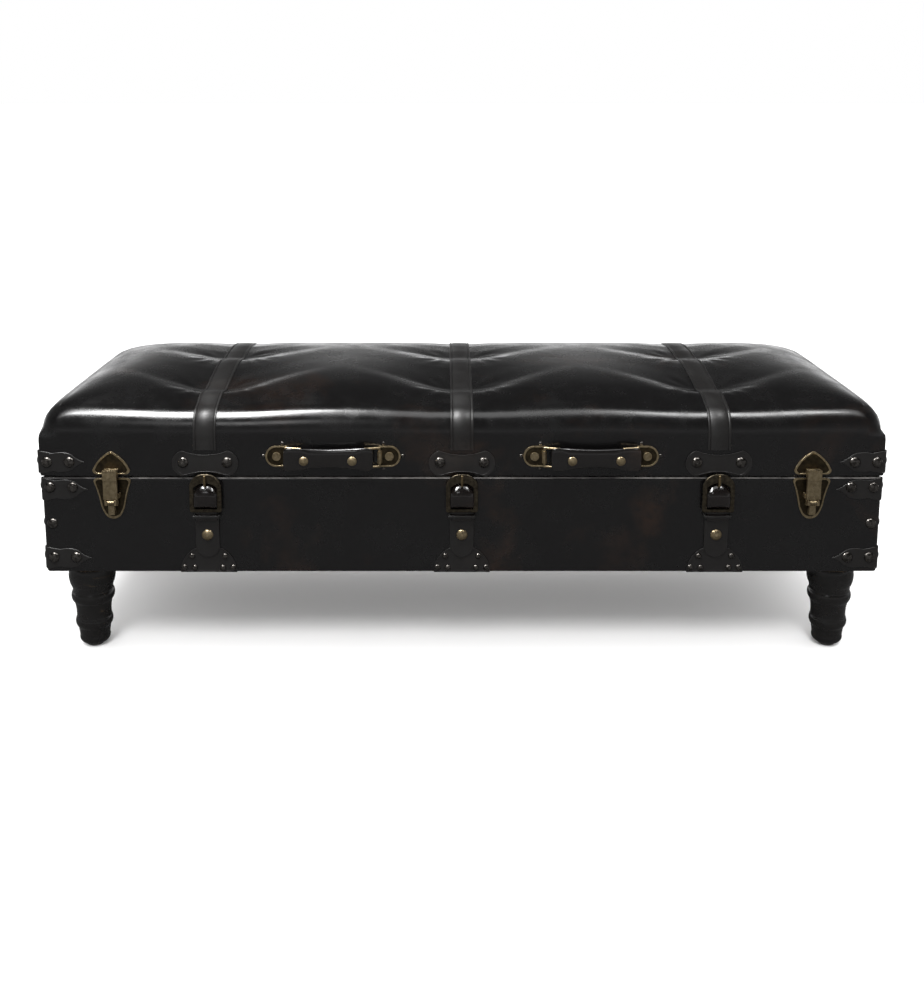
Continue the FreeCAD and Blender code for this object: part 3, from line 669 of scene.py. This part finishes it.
def grip(node):
    """A stuffed leather grip: tall ends, a drawn-in middle, a rounded section and thinner ends."""
    low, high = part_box(node)
    middle, half = (low[0] + high[0]) / 2, (high[0] - low[0]) / 2
    level = (low[2] + high[2]) / 2 + GRIP_RISE
    towards = -1 if node.endswith("left") else 1
    centre = middle - towards * GRIP_SHIFT
    verts, around = [], 40
    shares = np.sin(np.linspace(-math.pi / 2, math.pi / 2, 61))
    for share in shares:
        x = middle + half * share
        waist = 1 - abs(share) ** 1.6
        round_end = max(1 - abs(share) ** 14, 0.0) ** 0.5
        fullness = 0.55 + 0.45 * round_end
        upper = (GRIP_UPPER - WAIST_UPPER * waist) * fullness
        lower = (GRIP_LOWER - WAIST_LOWER * waist) * fullness
        front = low[1] + 0.0016 * waist + 0.0030 * (1 - round_end)
        clear = np.clip((abs(x - centre) - RING_START) / RING_SLOPE, 0, 1)
        back = high[1] - RING_ROOM * clear
        for k in range(around):
            turn = 2 * math.pi * k / around
            c, s = math.cos(turn), math.sin(turn)
            depth = math.copysign(abs(c) ** 0.78, c)
            rise = math.copysign(abs(s) ** 0.74, s)
            y = (front + back) / 2 - depth * (back - front) / 2
            verts.append((x, y, level + rise * (upper if rise > 0 else lower)))
    rows = len(shares)
    faces = tube_faces(0, rows, around) + tube_ends(0, rows, around)
    piece = mesh_piece(node + "_stuffed", verts, faces, "grip_leather", 60)
    return adopt(piece, BODY[node], SLOT[node], node)


def finish_node(node):
    """A CAD shape as it is, with rounded edges and the finish that suits it."""
    width = 0.0 if node in NO_BEVEL else EDGE_WIDTHS.get(SLOT[node], 0.0)
    material = None
    if node in DARK_NAILS:
        material = MATERIALS["dark_nail"]
    if node == "buckle_frames":
        material, width = MATERIALS["dull_brass"], HARDWARE_EDGE
    if node.startswith(("latch_l", "strap_rivets", "grip_rivets", "handle_ring")):
        material = MATERIALS["rim_brass"]
    if node.startswith("latch_l"):
        width = HARDWARE_EDGE
    piece = softened(node, width, material)
    if node in RECESS_LEVELS:
        darken_recess(piece, RECESS_LEVELS[node])


cover = lid_cover()
tree = cover_tree(cover)
for strap_x, strap_side in zip(STRAPS, ("left", "centre", "right")):
    lay_strap(tree, strap_x, strap_side)
base_cover()
buckle_leathers()
grip("handle_grip_left")
grip("handle_grip_right")
MADE = ("handle_grip_left", "handle_grip_right", "lid_leather", "lid_foam", "base_leather", "buckle_tongues",
        "top_strap_left", "top_strap_centre", "top_strap_right")
for node_name in NODES:
    if node_name not in MADE:
        finish_node(node_name)


# ---------------------------------------------------------------- floor, light, camera

FLOOR_SIZE = 400
FLOOR_PALE = (0.93, 0.93, 0.93)


def stage_floor():
    """A plain pale floor, darker in reflections in front of the object so that black leather stays black."""
    bpy.ops.mesh.primitive_plane_add(size=FLOOR_SIZE, location=(0, 0, 0))
    floor = bpy.context.object
    floor.name = "floor"
    material, nodes, links, shader, place = new_material("pale_floor")
    path = nodes.new("ShaderNodeLightPath")
    across = nodes.new("ShaderNodeSeparateXYZ")
    links.new(place, across.inputs["Vector"])
    reflected = ramp(nodes, links, across.outputs["Y"], 0.3, 1.0, grey(0.09), grey(0.6))
    links.new(mix(nodes, links, path.outputs["Is Glossy Ray"], FLOOR_PALE, reflected),
              shader.inputs["Base Color"])
    shader.inputs["Roughness"].default_value = 0.9
    shader.inputs["Specular IOR Level"].default_value = 0.1
    floor.data.materials.append(material)


def highlight(name, place, target, wide, tall, power):
    """A long soft lamp that is seen in glossy surfaces only."""
    light = bpy.data.lights.new(name, "AREA")
    light.shape = "RECTANGLE"
    light.size, light.size_y, light.energy = wide, tall, power
    lamp = bpy.data.objects.new(name, light)
    bpy.context.collection.objects.link(lamp)
    lamp.location = place
    lamp.rotation_euler = (Vector(target) - Vector(place)).to_track_quat("-Z", "Y").to_euler()
    lamp.visible_diffuse = False
    lamp.visible_camera = False


# Brightness of the surroundings in reflections, at each height over the horizon. In front of the
# object it is AHEAD_SHARE of this. FILL lights everything that isn't a reflection.
GLOW = ((0.03, (0.95, 0.95, 0.97, 1)), (0.12, grey(0.42)), (0.22, grey(0.25)), (0.40, grey(0.12)),
        (0.62, grey(0.06)))
FILL = (1.55, 1.55, 1.55)
AHEAD_SHARE = 0.55


def studio():
    """White to the camera, a soft fill, a glow low over the horizon in reflections, and the lamps."""
    world = bpy.data.worlds.new("studio")
    bpy.context.scene.world = world
    world.use_nodes = True
    nodes, links = world.node_tree.nodes, world.node_tree.links
    path = nodes.new("ShaderNodeLightPath")
    level = nodes.new("ShaderNodeSeparateXYZ")
    links.new(nodes.new("ShaderNodeTexCoord").outputs["Generated"], level.inputs["Vector"])
    glow = nodes.new("ShaderNodeValToRGB")
    links.new(level.outputs["Z"], glow.inputs["Fac"])
    stops = glow.color_ramp.elements
    stops[0].position, stops[0].color = GLOW[0]
    stops[1].position, stops[1].color = GLOW[-1]
    for position, colour in GLOW[1:-1]:
        stops.new(position).color = colour
    ahead = ramp(nodes, links, level.outputs["Y"], 0.0, 0.25, grey(AHEAD_SHARE), grey(1))
    scaled = nodes.new("ShaderNodeVectorMath")
    scaled.operation = "MULTIPLY"
    links.new(glow.outputs["Color"], scaled.inputs[0])
    links.new(ahead, scaled.inputs[1])
    unseen = mix(nodes, links, path.outputs["Is Glossy Ray"], FILL, scaled.outputs[0])
    links.new(mix(nodes, links, path.outputs["Is Camera Ray"], unseen, (1, 1, 1)),
              nodes["Background"].inputs["Color"])
    sun = bpy.data.lights.new("key", "SUN")
    sun.energy, sun.angle = 1.7, math.radians(20)
    lamp = bpy.data.objects.new("key", sun)
    bpy.context.collection.objects.link(lamp)
    lamp.rotation_euler = Vector((0.10, 0.80, -1.0)).to_track_quat("-Z", "Y").to_euler()
    lamp.visible_glossy = False
    front_roll = (0, -0.17, 0.3)
    highlight("roll", (0, -0.56, 1.72), front_roll, wide=2.6, tall=0.85, power=14)
    highlight("roll_left", (-0.66, -0.56, 1.68), (-0.46, -0.17, 0.3), wide=0.5, tall=0.80, power=52)
    highlight("roll_right", (0.72, -0.56, 1.68), (0.50, -0.17, 0.3), wide=0.4, tall=0.45, power=9)
    highlight("crests", (0, 2.6, 0.60), (0, 0, 0.36), wide=2.8, tall=0.24, power=2)
    highlight("front_soft", (-0.7, -2.3, 1.5), (0, -0.2, 0.2), wide=0.5, tall=0.5, power=2.5)


SENSOR = 36
FOCAL_SHARE = 1.1525
LOOKING_DOWN = 9.58


def camera():
    """Looks slightly down at the front from a little left of the middle, with the frame shifted down."""
    lens = bpy.data.cameras.new("camera")
    view = bpy.data.objects.new("camera", lens)
    bpy.context.collection.objects.link(view)
    lens.sensor_width = SENSOR
    lens.lens = SENSOR * FOCAL_SHARE
    lens.shift_x, lens.shift_y = 0.0172, -0.205
    view.location = (-0.0223, -1.6251, 0.7361)
    view.rotation_euler = (math.radians(90 - LOOKING_DOWN), 0, 0)
    bpy.context.scene.camera = view


stage_floor()
studio()
camera()
bpy.context.scene.view_settings.view_transform = "Standard"
